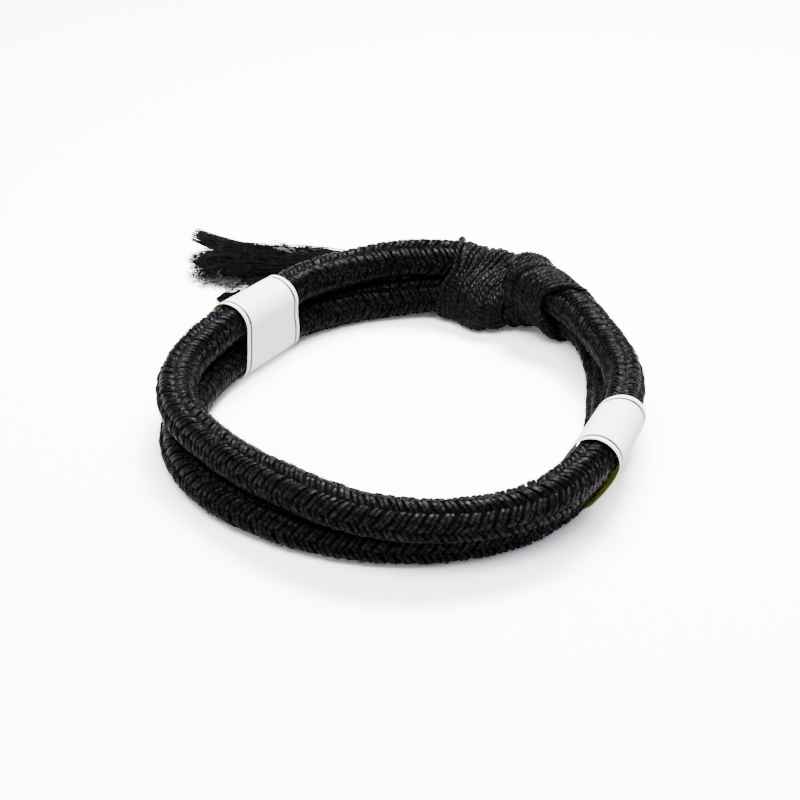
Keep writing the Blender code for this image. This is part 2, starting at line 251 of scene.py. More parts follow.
def slope_factor(bearing, strand):
    """How much wider a slanting strand's square section is."""
    ends = []
    for k in (-1.0, 1.0):
        place = pair_frame(bearing + k)
        ends.append(in_frame(place, *crossing_strands(bearing + k, place)[strand]))
    lean = (ends[1] - ends[0]).normalized().dot(pair_frame(bearing)[1])
    return 1.0 / max(SLANT_LIMIT, lean)


def bound_circles(bearing, place):
    """What the binding goes round: circles of (out, up, radius)."""
    start, climber, end = crossing_strands(bearing, place)
    circles = [(climber.x, climber.y, CORD_RADIUS * slope_factor(bearing, 1))]
    start_share = smooth((bearing - CORD_START + END_AHEAD) / END_RUN)
    end_share = smooth((CORD_END - bearing + END_AHEAD) / END_RUN)
    for strand, number, share in ((start, 0, start_share), (end, 2, end_share)):
        if share > 0.0:
            middle = climber.lerp(strand, share)
            circles.append((middle.x, middle.y, CORD_RADIUS * slope_factor(bearing, number)))
    neck_share = smooth((bearing - BINDING_SPAN[1] + NECK_HELD + END_AHEAD) / END_RUN)
    if neck_share > 0.0:
        out, up = neck_place(bearing, place)
        neck_out = climber.x + neck_share * (out - climber.x)
        neck_up = climber.y + neck_share * (up - climber.y)
        circles.append((neck_out, neck_up, NECK_RADIUS))
    return circles


def swelling(bearing, way):
    total = 0.0
    for middle, spread, facing, height in SWELLINGS:
        near = math.exp(-(((bearing - middle) / spread) ** 2))
        total += WRAP_THICK * height * near * max(0.0, math.cos(way - math.radians(facing))) ** 2
    return total


def shares_at(rows, place, column):
    """A column of a table at a place between its rows, eased."""
    for one, other in zip(rows, rows[1:]):
        if place <= other[0]:
            part = smooth((place - one[0]) / (other[0] - one[0]))
            return one[column] + part * (other[column] - one[column])
    return rows[-1][column]


def tassel_frame():
    """The tassel's foot, and its level ways along and across."""
    bearing = BINDING_SPAN[1]
    place = pair_frame(bearing)
    foot = in_frame(place, *neck_place(bearing, place))
    outward = Vector((place[2].x, place[2].y, 0.0)).normalized()
    along = Vector((place[1].x, place[1].y, 0.0)).normalized()
    turn = math.radians(TASSEL_TURN)
    ahead = along * math.cos(turn) + outward * math.sin(turn)
    aside = outward * math.cos(turn) - along * math.sin(turn)
    return foot, ahead, aside


def ring_centre():
    """The ring's centre in the shared frame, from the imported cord's box and the same sections' box here."""
    first, last = CROSSING_SPAN
    travel = CORD_START
    sections = []
    while travel < 720.0 + CORD_END - CORD_STEP / 4:
        sections.append(travel)
        inside = first - CORD_STEP < travel % 360.0 < last + CORD_STEP / 2
        travel += CORD_STEP / 2 if inside else CORD_STEP
    points = [cord_point(t) for t in sections + [720.0 + CORD_END]]
    corners = []
    for k, here in enumerate(points):
        ahead = points[min(k + 1, len(points) - 1)] - points[max(k - 1, 0)]
        side = ahead.cross(Vector((0, 0, 1))).normalized()
        up = side.cross(ahead).normalized()
        for n in range(CORD_SIDES):
            angle = (n + 0.5) * TAU / CORD_SIDES
            corners.append(here + side * CORD_RADIUS * math.sin(angle) - up * CORD_RADIUS * math.cos(angle))
    own = np.array(corners)
    packed = np.array(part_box("head_cord"))
    return packed[0] - own.min(axis=0)


CENTRE = ring_centre()


def mesh_piece(name, material, points, faces, uv=None, tone=None):
    """A piece from points in metres from the ring's centre and quads, with UVs and tones for each point."""
    mesh = bpy.data.meshes.new(name)
    points = np.asarray(points, float).reshape(-1, 3) + CENTRE
    faces = np.asarray(faces, int).reshape(-1, 4)
    mesh.vertices.add(len(points))
    mesh.vertices.foreach_set("co", points.ravel())
    mesh.loops.add(faces.size)
    mesh.loops.foreach_set("vertex_index", faces.ravel())
    mesh.polygons.add(len(faces))
    mesh.polygons.foreach_set("loop_start", np.arange(0, faces.size, 4))
    mesh.polygons.foreach_set("loop_total", np.full(len(faces), 4))
    mesh.polygons.foreach_set("use_smooth", np.ones(len(faces), bool))
    if uv is not None:
        layer = mesh.uv_layers.new(name="UVMap")
        layer.data.foreach_set("uv", np.asarray(uv, float).reshape(-1, 2)[faces.ravel()].ravel())
    if tone is not None:
        colours = mesh.color_attributes.new(name="tone", type="FLOAT_COLOR", domain="POINT")
        grey = np.repeat(np.asarray(tone, float).ravel()[:, None], 4, axis=1)
        grey[:, 3] = 1.0
        colours.data.foreach_set("color", grey.ravel())
    mesh.update(calc_edges=True)
    mesh.validate()
    obj = bpy.data.objects.new(name, mesh)
    bpy.context.collection.objects.link(obj)
    mesh.materials.append(material)
    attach(obj, "root")
    return obj


UV_SHIFT = 40  # of the texture round the tubes, from one to the next
UV_SHIFT_ALONG = 7  # times as far along them


def unit(vectors):
    """The same ways, each one long."""
    return vectors / np.linalg.norm(vectors, axis=-1, keepdims=True)


def quads_between(one, other):
    """Quads between closed rings of point numbers."""
    corners = [one, np.roll(one, -1, axis=-1), np.roll(other, -1, axis=-1), other]
    return np.stack(corners, axis=-1).reshape(-1, 4)


def tubes(paths, outward, wide, thick, sides, tones):
    """Points, quads, UVs and tones of closed tubes along paths, which are (tubes, sections, 3).

    outward points out of the surface, wide and thick are half sizes, and every tube has one tone.
    """
    count, sections = paths.shape[:2]
    shape = (count, sections, sides)
    ahead = unit(np.gradient(paths, axis=1))
    across = np.cross(ahead, outward)
    across /= np.linalg.norm(across, axis=2, keepdims=True) + 1e-12
    up = np.cross(across, ahead)
    wide = np.broadcast_to(wide, (count, sections))[..., None, None]
    thick = np.broadcast_to(thick, (count, sections))[..., None, None]
    angles = np.arange(sides) * TAU / sides
    sideways = across[:, :, None] * np.cos(angles)[:, None] * wide
    upwards = up[:, :, None] * np.sin(angles)[:, None] * thick
    points = paths[:, :, None] + (sideways + upwards)
    steps = np.linalg.norm(np.diff(paths, axis=1), axis=2)
    length = np.concatenate([np.zeros((count, 1)), steps.cumsum(axis=1)], axis=1)
    seed = rng.random((count, 1, 1)) * UV_SHIFT
    uv_along = np.broadcast_to(length[:, :, None] * 1000 + seed * UV_SHIFT_ALONG, shape)
    uv_round = np.broadcast_to(np.arange(sides) / sides + seed, shape)
    uv = np.stack([uv_along, uv_round], axis=-1)
    index = np.arange(count * sections * sides).reshape(shape)
    walls = quads_between(index[:, :-1], index[:, 1:])
    caps = []
    for end, flip in ((index[:, 0], False), (index[:, -1], True)):
        for k in range(1, sides - 2, 2):
            quad = np.stack([end[:, 0], end[:, k], end[:, k + 1], end[:, k + 2]], axis=-1)
            caps.append(quad if flip else quad[:, ::-1])
    faces = np.concatenate([walls[:, ::-1]] + caps)
    tone = np.broadcast_to(np.asarray(tones, float)[:, None, None], shape)
    return points.reshape(-1, 3), faces, uv.reshape(-1, 2), tone.reshape(-1)


CORD_NUDGES = (
    # travel, spread in degrees, metres up, metres out
    (465.0, 27.0, 0.0012, 0.0002),
    (94.0, 16.0, -0.0007, 0.0),
    (508.0, 28.0, 0.0014, 0.0006),
    (180.0, 30.0, 0.0, 0.0003),
    (212.0, 16.0, 0.0, 0.0004),
    (327.0, 12.0, 0.0, 0.0002),
    (683.0, 12.0, 0.0, 0.0009),
    (738.0, 24.0, 0.0, 0.0006),
)
CORD_FULLNESS = (
    # travel, spread in degrees, share thicker
    (454.0, 24.0, 0.085),
    (92.0, 24.0, 0.085),
    (508.0, 26.0, 0.045),
    (150.0, 26.0, 0.03),
)


def fullness(travel):
    """How much thicker the soft cord is than the solid."""
    travel = np.asarray(travel, float)
    total = 0
    for middle, spread, extra in CORD_FULLNESS:
        total = total + extra * np.exp(-(((travel - middle) / spread) ** 2))
    return 1.0 + total


def nudged(travel, point):
    """A point of the cord, moved to where the photo shows it."""
    out = Vector((point.x, point.y, 0.0)).normalized()
    for middle, spread, up_by, out_by in CORD_NUDGES:
        near = math.exp(-(((travel - middle) / spread) ** 2))
        point = point + out * out_by * near + Vector((0, 0, up_by * near))
    point.z = max(point.z, CORD_RADIUS * float(fullness(travel)))
    return point


class CordLine:
    """The cord's middle line by arc length in millimetres, with its ways up and to the side."""

    def __init__(self):
        travel = np.arange(CORD_START, 720.0 + CORD_END + 0.01, 1.0)
        middles = np.array([nudged(t, cord_point(t)) for t in travel])
        ahead = unit(np.gradient(middles, axis=0))
        side = unit(np.cross(ahead, (0, 0, 1)))
        self.table = np.hstack([middles, side, np.cross(side, ahead)])
        self.travel = travel
        self.along = np.concatenate([[0], np.linalg.norm(np.diff(middles, axis=0), axis=1).cumsum()]) * 1000
        self.length = self.along[-1]

    def at(self, along):
        """The middle, the way to the side and the way up at some lengths."""
        rows = [np.interp(along, self.along, column) for column in self.table.T]
        found = np.stack(rows, axis=-1)
        return found[..., :3], found[..., 3:6], found[..., 6:9]

    def surface(self, along, angle, radius):
        """A point on the cord and the way out there. Angle 0 is on top and grows towards the outside."""
        middle, side, up = self.at(along)
        out = side * np.sin(angle)[..., None] + up * np.cos(angle)[..., None]
        full = fullness(np.interp(along, self.along, self.travel))
        return middle + out * (np.asarray(radius) * full)[..., None], out


LINE = CordLine()

# The braid: ribs of two threads each, in zones round the cord that lean one way and the other in turn
BRAID_PARTS = 3
BRAID_ZONES = 6
BRAID_SLANT = math.radians(30.0)  # of a rib from square across the cord
BRAID_TWIST = 0.21  # degrees of turn for each millimetre of cord
BRAID_TURNED = -60.0  # where the first zone starts, at BRAID_ORIGIN
BRAID_ORIGIN = 530.0  # degrees of travel
THREAD_WIDE = 0.00098  # half sizes of one thread
THREAD_THICK = 0.00060
HIDDEN_MARGIN = 3.0  # degrees inside the binding from which the braid is left out
BRAID_PROUD = 0.00048  # of the solid's surface
BRAID_HIGH = CORD_RADIUS + BRAID_PROUD - THREAD_THICK
BRAID_LOW = CORD_RADIUS - 0.0024
RIB_SECTIONS = 10
THREAD_SIDES = 6
THREADS = (-0.205, 0.205)  # where a rib's threads lie, as shares of the pitch
RIB_STRAY = 0.13  # millimetres along the cord
RIB_UNEVEN = 0.10  # of slant, width and thickness, as a share
RIB_LIFT = 0.00010
RIB_LIFTS = (-0.0003, 0.0002)  # the least and the most
TUCK = 0.20  # how far a rib goes on under its neighbours, as a share of its length
ARCH_MARGIN = 0.12  # how far into the tuck a rib's arch reaches, as a share of its length
ARCH_POWER = 0.55  # below one makes the arch flatter on top
CORE_RADIUS = CORD_RADIUS - 0.0009
CORE_SECTIONS = 480
CORE_SIDES = 16


def braid_ribs(first, last):
    """The ribs between two lengths along the cord, in millimetres."""
    zone = TAU / BRAID_ZONES
    pitch = zone * CORD_RADIUS * 1000 * math.tan(BRAID_SLANT)
    origin = np.interp(BRAID_ORIGIN, LINE.travel, LINE.along)
    part = np.linspace(-TUCK, 1 + TUCK, RIB_SECTIONS)
    risen = np.clip((part + ARCH_MARGIN) / (1 + 2 * ARCH_MARGIN), 0, 1)
    arch = np.clip(np.sin(risen * math.pi), 0, 1) ** ARCH_POWER
    alongs, angles, heights = [], [], []
    for number in range(BRAID_ZONES):
        lean = 1 if number % 2 == 0 else -1
        offset = 0.0 if lean > 0 else 0.5
        places = (np.arange(round(first / pitch), round(last / pitch)) + offset) * pitch
        bearing = np.interp(places, LINE.along, LINE.travel) % 360.0
        hidden = (bearing > BINDING_SPAN[0] + HIDDEN_MARGIN) & (bearing < BINDING_SPAN[1] - HIDDEN_MARGIN)
        places = places[~hidden]
        for thread in THREADS:
            centre = places + thread * pitch + rng.normal(0, RIB_STRAY, len(places))
            turn = (part - 0.5) * zone
            slant = math.tan(BRAID_SLANT) * rng.normal(1.0, RIB_UNEVEN, (len(places), 1))
            alongs.append(centre[:, None] + lean * turn * CORD_RADIUS * 1000 * slant)
            twist = np.radians(BRAID_TURNED + BRAID_TWIST * (alongs[-1] - origin))
            angles.append((number + 0.5) * zone + turn + twist)
            lift = rng.normal(0, RIB_LIFT, len(places)).clip(*RIB_LIFTS)
            heights.append(BRAID_LOW + (BRAID_HIGH + lift[:, None] - BRAID_LOW) * arch)
    along, angle, height = (np.concatenate(rows) for rows in (alongs, angles, heights))
    paths, out = LINE.surface(along, angle, height)
    count = len(paths)
    wide = THREAD_WIDE * rng.normal(1.0, RIB_UNEVEN, (count, 1)) * (0.6 + 0.4 * arch)
    thick = THREAD_THICK * rng.normal(1.0, RIB_UNEVEN, (count, 1)) * (0.7 + 0.3 * arch)
    return tubes(paths, out, wide, thick, THREAD_SIDES, rng.random(count))


def new_material(name):
    """A material, its node tree and its shader."""
    material = bpy.data.materials.new(name)
    material.use_nodes = True
    return material, material.node_tree, material.node_tree.nodes["Principled BSDF"]


def noise_texture(tree, scale, detail):
    """A noise node."""
    found = tree.nodes.new("ShaderNodeTexNoise")
    found.inputs["Scale"].default_value = scale
    found.inputs["Detail"].default_value = detail
    return found


def colour_mix(tree, low, high, factor):
    """A socket that goes from one colour to another with a factor."""
    mix = tree.nodes.new("ShaderNodeMix")
    mix.data_type = "RGBA"
    mix.inputs["A"].default_value = (*low, 1)
    mix.inputs["B"].default_value = (*high, 1)
    tree.links.new(factor, mix.inputs["Factor"])
    return mix.outputs["Result"]


def yarn_material(name, dark, light, roughness, shine, fibre_scale, bump):
    """Spun yarn: fine fibres along each thread, threads of slightly different tones, and a patchy sheen."""
    material, tree, shader = new_material(name)
    uv = tree.nodes.new("ShaderNodeUVMap")
    uv.uv_map = "UVMap"
    stretch = tree.nodes.new("ShaderNodeMapping")
    stretch.inputs["Scale"].default_value = fibre_scale
    fibres = noise_texture(tree, 1.0, 3.0)
    tree.links.new(uv.outputs["UV"], stretch.inputs["Vector"])
    tree.links.new(stretch.outputs["Vector"], fibres.inputs["Vector"])
    tone = tree.nodes.new("ShaderNodeVertexColor")
    tone.layer_name = "tone"
    blend = tree.nodes.new("ShaderNodeMath")
    blend.operation = "MULTIPLY"
    tree.links.new(tone.outputs["Color"], blend.inputs[0])
    tree.links.new(fibres.outputs["Fac"], blend.inputs[1])
    tree.links.new(colour_mix(tree, dark, light, blend.outputs["Value"]), shader.inputs["Base Color"])
    lift = tree.nodes.new("ShaderNodeBump")
    lift.inputs["Strength"].default_value = bump
    lift.inputs["Distance"].default_value = 0.0004
    tree.links.new(fibres.outputs["Fac"], lift.inputs["Height"])
    tree.links.new(lift.outputs["Normal"], shader.inputs["Normal"])
    patches = noise_texture(tree, 0.9, 4.0)
    patches.inputs["Roughness"].default_value = 0.7
    tree.links.new(uv.outputs["UV"], patches.inputs["Vector"])
    glints = tree.nodes.new("ShaderNodeMapRange")
    glints.inputs["From Min"].default_value = 0.42
    glints.inputs["From Max"].default_value = 0.64
    glints.inputs["To Min"].default_value = 0.15 * shine
    glints.inputs["To Max"].default_value = 2.2 * shine
    tree.links.new(patches.outputs["Fac"], glints.inputs["Value"])
    tree.links.new(glints.outputs["Result"], shader.inputs["Specular IOR Level"])
    shader.inputs["Roughness"].default_value = roughness
    return material


def core_material():
    """The dull black that shows between the ribs."""
    material, _, shader = new_material("core_black")
    shader.inputs["Base Color"].default_value = (0.0008, 0.0008, 0.0008, 1)
    shader.inputs["Specular IOR Level"].default_value = 0.05
    shader.inputs["Roughness"].default_value = 0.95
    return material


braid_yarn = yarn_material(
    "black_braid", (0.0004, 0.0004, 0.0005), (0.0026, 0.0026, 0.0029), 0.33, 0.076, (0.5, 14, 1), 1.0
)
rope_yarn = yarn_material(
    "black_rope", (0.0005, 0.0005, 0.0006), (0.0040, 0.0040, 0.0046), 0.34, 0.070, (0.8, 10, 1), 1.0
)
tassel_yarn = yarn_material(
    "black_yarn", (0.0004, 0.0004, 0.0005), (0.0050, 0.0050, 0.0056), 0.45, 0.06, (0.8, 4, 1), 0.3
)
# A grey copy of the black yarn, for the curls and crimps: painted highlight where they catch the light.
grey_highlight_yarn = yarn_material(
    "painted_highlight_grey_yarn", (0.0120, 0.0120, 0.0130), (0.1400, 0.1400, 0.1450), 0.6, 0.2, (0.8, 4, 1), 0.3
)
core_black = core_material()


def add_braid():
    """The braid, in pieces along the cord."""
    for number in range(BRAID_PARTS):
        first = LINE.length * number / BRAID_PARTS
        last = LINE.length * (number + 1) / BRAID_PARTS
        braid = mesh_piece(f"braid_{number + 1}", braid_yarn, *braid_ribs(first, last))


FILAMENTS = 3600
FILAMENT_LENGTH = 4.2  # millimetres
FILAMENT_LENGTHS = (0.5, 1.3)  # shares of that length
FILAMENT_RADIUS = 0.00009
FILAMENT_SECTIONS = 5
FILAMENT_SIDES = 4
FILAMENT_UNEVEN = 0.35  # of their slant, as a share
FILAMENT_DIP = 0.00055  # of their ends into the braid
FILAMENT_STRAY = 0.00010
END_MARGIN = 2.0  # millimetres at both ends of the cord


def add_filaments():
    """Fine hairs that lie across the ribs."""
    share = np.linspace(-0.5, 0.5, FILAMENT_SECTIONS)
    lengths = FILAMENT_LENGTH * rng.uniform(*FILAMENT_LENGTHS, (FILAMENTS, 1))
    leans = rng.choice((-1, 1), (FILAMENTS, 1))
    slants = leans * BRAID_SLANT * rng.normal(1.0, FILAMENT_UNEVEN, (FILAMENTS, 1))
    middle = rng.uniform(END_MARGIN, LINE.length - END_MARGIN, (FILAMENTS, 1))
    bearing = np.interp(middle, LINE.along, LINE.travel) % 360.0
    shown = ((bearing < BINDING_SPAN[0]) | (bearing > BINDING_SPAN[1]))[:, 0]
    alongs = (middle + share * lengths * np.sin(slants))[shown]
    turns = share * lengths * np.cos(slants) / (CORD_RADIUS * 1000)
    angles = (rng.random((FILAMENTS, 1)) * TAU + turns)[shown]
    strays = rng.normal(0, FILAMENT_STRAY, (shown.sum(), 1))
    highs = CORD_RADIUS + BRAID_PROUD - FILAMENT_DIP * (2 * share) ** 2 + strays
    paths, out = LINE.surface(alongs, angles, highs)
    tones = 0.6 + 0.4 * rng.random(len(paths))
    hairs = tubes(paths, out, FILAMENT_RADIUS, FILAMENT_RADIUS, FILAMENT_SIDES, tones)
    filaments = mesh_piece("braid_filaments", braid_yarn, *hairs)


def add_core():
    """A plain core, which closes the gaps between the ribs."""
    alongs = np.linspace(0, LINE.length, CORE_SECTIONS)
    middles, _, ups = LINE.at(alongs)
    radius = CORE_RADIUS * fullness(np.interp(alongs, LINE.along, LINE.travel))[None]
    points, faces = tubes(middles[None], ups[None], radius, radius, CORE_SIDES, np.zeros(1))[:2]
    core = mesh_piece("braid_core", core_black, points, faces)
    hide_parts("head_cord")


add_braid()
add_filaments()
add_core()

# The binding: a rope of three plies, wound in turns on the wall round the strands, over a plain under layer
ROPE_PLIES = 3
ROPE_THICK = 0.0028
ROPE_LAY = 0.0072  # length of one twist
ROPE_STEP = 0.0009
PLY_SIDES = 7
PLY_SHARE = 0.265  # a ply's radius, as a share of the rope's thickness
TURN_POINTS = 72


def resampled(points, outward, step):
    """The same line at an even spacing, its ways out, and the length at each point."""
    points, outward = np.asarray(points), np.asarray(outward)
    length = np.concatenate([[0], np.linalg.norm(np.diff(points, axis=0), axis=1).cumsum()])
    even = np.linspace(0, length[-1], max(4, int(length[-1] / step)))
    rows = [np.interp(even, length, column) for column in np.hstack([points, outward]).T]
    found = np.stack(rows, axis=-1)
    return found[:, :3], unit(found[:, 3:]), even


def rope_plies(points, outward, thick):
    """The plies of a twisted rope along a line."""
    middle, out, length = resampled(points, outward, ROPE_STEP)
    ahead = unit(np.gradient(middle, axis=0))
    side = unit(np.cross(ahead, out))
    out = np.cross(side, ahead)
    ply = thick * PLY_SHARE
    orbit = thick / 2 - ply
    phases = np.arange(ROPE_PLIES) * TAU / ROPE_PLIES
    turn = length[None] * TAU / ROPE_LAY + phases[:, None]
    ways = side[None] * np.cos(turn)[..., None] + out[None] * np.sin(turn)[..., None]
    paths = middle[None] + ways * orbit
    return tubes(paths, ways, ply, ply, PLY_SIDES, 0.4 + 0.3 * rng.random(ROPE_PLIES))


TOP_TURNS = 31
TOP_SUNK = 0.0003
TOP_UNTIDY = 0.3
UNDER_TURNS = 30
UNDER_LEAN = 0.8  # as a share of the top layer's
UNDER_SUNK = 0.0014
UNDER_STEP = 0.0015
UNDER_SIDES = 6
UNDER_TONE = 0.3
DRIFTS = 3  # in each turn, the places between which an untidy turn wanders
LOOSE_TURN = 0.0006  # how far an untidy turn stands in or out
TURN_WAY = 50.0  # the way round at which a leaning turn is furthest on
TURN_AHEAD = 8.0  # degrees that the turns run on there at the right end
TURN_BEHIND = 4.0  # degrees that the last turns run on at the opposite way, at the left end
DENTS = (
    # bearing, spread, way, depth in metres (below zero is a swelling)
    (71.5, 4.5, 80.0, 0.0024),
    (55.5, 3.4, 70.0, -0.0042),
    (48.3, 1.8, 60.0, 0.0004),
    (53.0, 5.0, 235.0, 0.0020),
    (57.0, 3.4, 262.0, -0.0050),
    (64.8, 2.6, 235.0, 0.0014),
    (60.2, 1.9, 240.0, 0.0034),
    (38.0, 4.0, 60.0, 0.0012),
    (46.5, 2.2, 262.0, -0.0014),
)


def binding_line(turns, lean_share, sunk, untidy):
    """One layer of turns round the strands: sunk is how far it lies inside the even wall."""
    first, last = BINDING_SPAN
    pitch = (last - first) / turns
    points, outward = [], []
    drift_places = np.arange(DRIFTS * turns + 2)
    drift = rng.normal(0, 1, (2, len(drift_places)))
    for step in range(turns * TURN_POINTS - TURN_POINTS + 1):
        turn = step / TURN_POINTS
        way = TAU * turn
        along = (turn + 0.5) / turns
        tilt = math.cos(way - math.radians(TURN_WAY))
        behind = 0.5 * BINDING_LEAN * math.sin(math.pi * along) ** 2 * min(0.0, tilt)
        lean = lean_share * (behind + TURN_AHEAD * (1 - along) ** 0.8 * max(0.0, tilt))
        astray, loose = (float(np.interp(turn * DRIFTS, drift_places, row)) for row in drift)
        bearing = min(last - 0.4 * pitch, first + (last - first) * along - lean + untidy * pitch * astray)
        bearing += lean_share * TURN_BEHIND * along ** 4 * max(0.0, -tilt)
        place = pair_frame(bearing)
        proud = WALL_GAP + WRAP_THICK / 2 + swelling(bearing, way % TAU) - sunk
        proud += untidy * LOOSE_TURN * loose
        for middle, spread, facing, depth in DENTS:
            near = math.exp(-(((bearing - middle) / spread) ** 2))
            proud -= depth * near * max(0.0, math.cos(way - math.radians(facing)))
        distance = hull_reach(way, bound_circles(bearing, place)) + proud
        point = in_frame(place, distance * math.cos(way), distance * math.sin(way))
        point.z = max(WRAP_THICK / 2 + 0.0001, point.z)
        points.append(point)
        outward.append(place[2] * math.cos(way) + place[3] * math.sin(way))
    return points, outward


TAIL_SUNK = 0.0016  # the soft tail presses into the braid
TAIL_FULL = 0.9  # of the solid tail's thickness
TAIL_TUCK = 1.0  # degrees inside the binding
TAIL_POINTS = 14


def tail_point(bearing):
    """A point of the rope's free end, at the outer side of the upper coil."""
    aside = CORD_RADIUS + TAIL_THICK / 2 - TAIL_SUNK
    way = math.radians(TAIL_WAY)
    outward = pair_frame(bearing)[2]
    return coil_points(bearing)[1] + outward * aside * math.cos(way) + Vector((0, 0, aside * math.sin(way)))


def add_binding():
    """The rope on top, and the under layer, which closes the gaps between its turns."""
    top = binding_line(TOP_TURNS, 1.0, TOP_SUNK, TOP_UNTIDY)
    binding = mesh_piece("binding_rope", rope_yarn, *rope_plies(*top, ROPE_THICK))
    middle, out, _ = resampled(*binding_line(UNDER_TURNS, UNDER_LEAN, UNDER_SUNK, 0.0), UNDER_STEP)
    half = WRAP_THICK / 2
    layer = tubes(middle[None], out[None], half, half, UNDER_SIDES, np.full(1, UNDER_TONE))
    under = mesh_piece("binding_under", rope_yarn, *layer)
    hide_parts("binding")


def add_tail():
    """The free end of the wrapping rope."""
    mouth = BINDING_SPAN[0]
    span = math.degrees(TAIL_LENGTH / reach(mouth, UPPER))
    bearings = np.linspace(mouth + TAIL_TUCK, mouth - span, TAIL_POINTS)
    points = [tail_point(bearing) for bearing in bearings]
    outward = [pair_frame(bearing)[2] for bearing in bearings]
    tail = mesh_piece("binding_tail_rope", rope_yarn, *rope_plies(points, outward, TAIL_THICK * TAIL_FULL))
    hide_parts("binding_tail")


add_binding()
add_tail()

# The tassel: fine yarns in locks
YARNS = 1650
YARN_SECTIONS = 16
YARN_RADIUS = 0.00024
YARN_SIDES = 4
YARN_TIP = 0.45  # the radius at the tip, as a share
YARN_SPREAD = 0.36  # below a half puts more of the yarns near the outside of a lock
FAN_SHARE = 0.88  # of the solid's spread
YARN_LOCKS = (
    # start, end, tip height, length, width, thickness, looseness, power of the sweep, width at the tip
    (0.32, 0.19, 0.28, 0.74, 0.24, 0.56, 1.0, 1.3, 0.42),
    (0.40, 0.32, 0.36, 0.92, 0.22, 0.74, 1.0, 1.3, 0.42),
    (0.46, 0.42, 0.42, 0.99, 0.26, 0.86, 1.0, 1.3, 0.42),
    (0.52, 0.56, 0.46, 0.97, 0.26, 0.84, 0.7, 1.3, 0.50),
    (0.58, 0.68, 0.60, 0.93, 0.31, 0.80, 0.35, 1.3, 0.60),
    (0.62, 0.82, 0.66, 1.04, 0.28, 0.46, 0.15, 2.9, 0.74),
)
STRAY_FULL = 2.2  # how much denser the last lock is than the others
PARTING = (0.22, 0.35)  # where the trunk starts to part into locks, and over what share of the length
LOOSE = 0.0009  # how far the loosest yarns wave
LOOSENING = (0.4, 0.5)  # where they start to, and over what share of the length
WAVES_ASIDE = 55
WAVES_UP = 47
SWELL = 0.38  # how much higher the loose yarn stands than the solid, as a share
SWELL_AT = 0.42
SWELL_RUN = 0.22
GRID = np.linspace(0.0, 1.1, 56)  # shares of the length at which trunk and locks are worked out


def trunk_at(foot, along, across, place):
    """The middle and the half sizes of the tassel's trunk."""
    half_width = max(NECK_RADIUS, TASSEL_WIDTH * shares_at(TRUNK, place, 1) / 2)
    half_height = TASSEL_HEIGHT * shares_at(TRUNK, place, 2) / 2
    settled = smooth(place / SETTLED)
    middle = foot + along * TASSEL_LENGTH * place + across * (half_width - NECK_RADIUS) * (1 - settled)
    middle.z = foot.z + (half_height - foot.z) * settled
    return np.array(middle), half_width, half_height


def lock_at(foot, along, across, lock, place):
    start, end, tip_height, length, width, thick, _, power, tip = lock
    part = (place - LOCK_ROOT) / (length - LOCK_ROOT)
    full = float(np.interp(part, (0.0, 0.35, 0.6, 0.8, 1.0), (0.8, 1.0, 0.95, 0.5 + tip / 2, tip)))
    sweep = max(0.0, part) ** power
    aside = (start + (end - start) * sweep - 0.5) * TASSEL_WIDTH * FAN_SHARE
    half_width = TASSEL_WIDTH * FAN_SHARE * width * full / 2
    half_thick = TASSEL_HEIGHT * thick * full / 2
    middle = foot + along * TASSEL_LENGTH * place + across * aside
    middle.z = max(half_thick, TASSEL_HEIGHT * (LOCK_ROOT_HEIGHT + (tip_height - LOCK_ROOT_HEIGHT) * sweep))
    return np.array(middle), half_width, half_thick


def between_rows(rows, place):
    """The middle and the half sizes at a place, from the rows at GRID."""
    row = place / GRID[-1] * (len(GRID) - 1)
    low = min(int(row), len(GRID) - 2)
    mix = row - low
    return [one * (1 - mix) + other * mix for one, other in zip(rows[low], rows[low + 1])]


def tassel_yarns():
    """The middle lines of the yarns, from the neck to their own ends."""
    placed = tassel_frame()
    foot, along, across = placed
    side = np.array(across)
    trunk_end = TRUNK[-1][0]
    weights = np.array([lock[4] * lock[5] for lock in YARN_LOCKS])
    weights[-1] *= STRAY_FULL
    trunk_rows = [trunk_at(*placed, min(place, trunk_end)) for place in GRID]
    lock_rows = [[lock_at(*placed, lock, place) for place in GRID] for lock in YARN_LOCKS]
    paths = []
    for _ in range(YARNS):
        number = rng.choice(len(YARN_LOCKS), p=weights / weights.sum())
        angle = rng.random() * TAU
        radius = rng.random() ** YARN_SPREAD
        a, b = radius * math.cos(angle), radius * math.sin(angle)
        length, looseness = YARN_LOCKS[number][3], YARN_LOCKS[number][6]
        stop = length * (1.02 - (0.06 + 0.16 * looseness) * rng.random() ** 2)
        waves = rng.random((3, 2)) * TAU
        swing = rng.normal(0, 1, 3)
        path = []
        for place in stop * np.linspace(0, 1, YARN_SECTIONS):
            middle, half_width, half_thick = between_rows(trunk_rows, place)
            ahead = np.array(foot + along * TASSEL_LENGTH * place)[:2]
            at_end = np.array(foot + along * TASSEL_LENGTH * min(place, trunk_end))[:2]
            middle[:2] = ahead + (middle[:2] - at_end)
            in_trunk = middle + side * a * half_width + np.array((0, 0, b * half_thick))
            middle, half_width, half_thick = between_rows(lock_rows[number], place)
            in_lock = middle + side * a * half_width + np.array((0, 0, b * half_thick))
            share = smooth((place - PARTING[0]) / PARTING[1])
            point = in_trunk * (1 - share) + in_lock * share
            loose = LOOSE * looseness * smooth((place - LOOSENING[0]) / LOOSENING[1]) * (0.6 + place)
            point = point + side * loose * (math.sin(place * WAVES_ASIDE + waves[0, 0]) + swing[0] * place)
            point[2] += loose * (math.sin(place * WAVES_UP + waves[1, 0]) * 0.8 + 0.5 * swing[1] * place)
            point[2] *= 1 + SWELL * math.exp(-(((place - SWELL_AT) / SWELL_RUN) ** 2))
            point[2] = max(YARN_RADIUS, point[2])
            path.append(point)
        paths.append(path)
    return np.array(paths)


